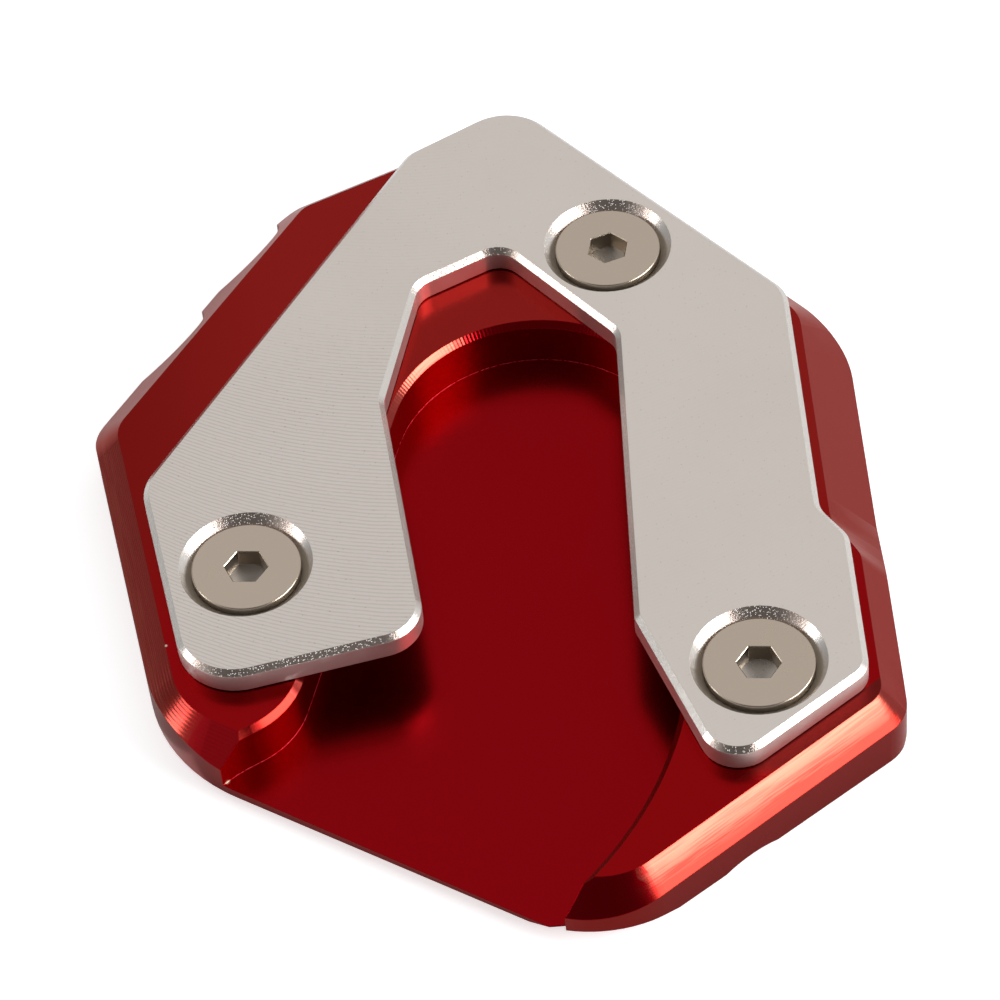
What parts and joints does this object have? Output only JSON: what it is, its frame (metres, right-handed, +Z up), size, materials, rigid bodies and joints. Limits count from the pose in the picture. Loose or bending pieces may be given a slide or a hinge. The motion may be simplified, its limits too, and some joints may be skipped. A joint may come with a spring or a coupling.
{
  "type": "kickstand foot enlarger",
  "caption": "Seven-sided anodised pad with a pocket for a side stand's foot, held by a slotted clamp plate on countersunk hex-socket screws.",
  "frame": {"origin": "middle of the part's bounding box, on the sole", "axes": "+Z up through the clamp plate, +Y away from the mouth of the pocket along the longest extent, +X to the right seen from the mouth"},
  "size_m": [0.0834, 0.1113, 0.011],
  "materials": {
    "red_anodised": "satin",
    "milled_silver": "satin",
    "screw_steel": "satin"
  },
  "bodies": {
    "root": {"base_plate": "red_anodised", "clamp_plate": "milled_silver", "clamp_screws": "screw_steel"}
  },
  "joints": []
}
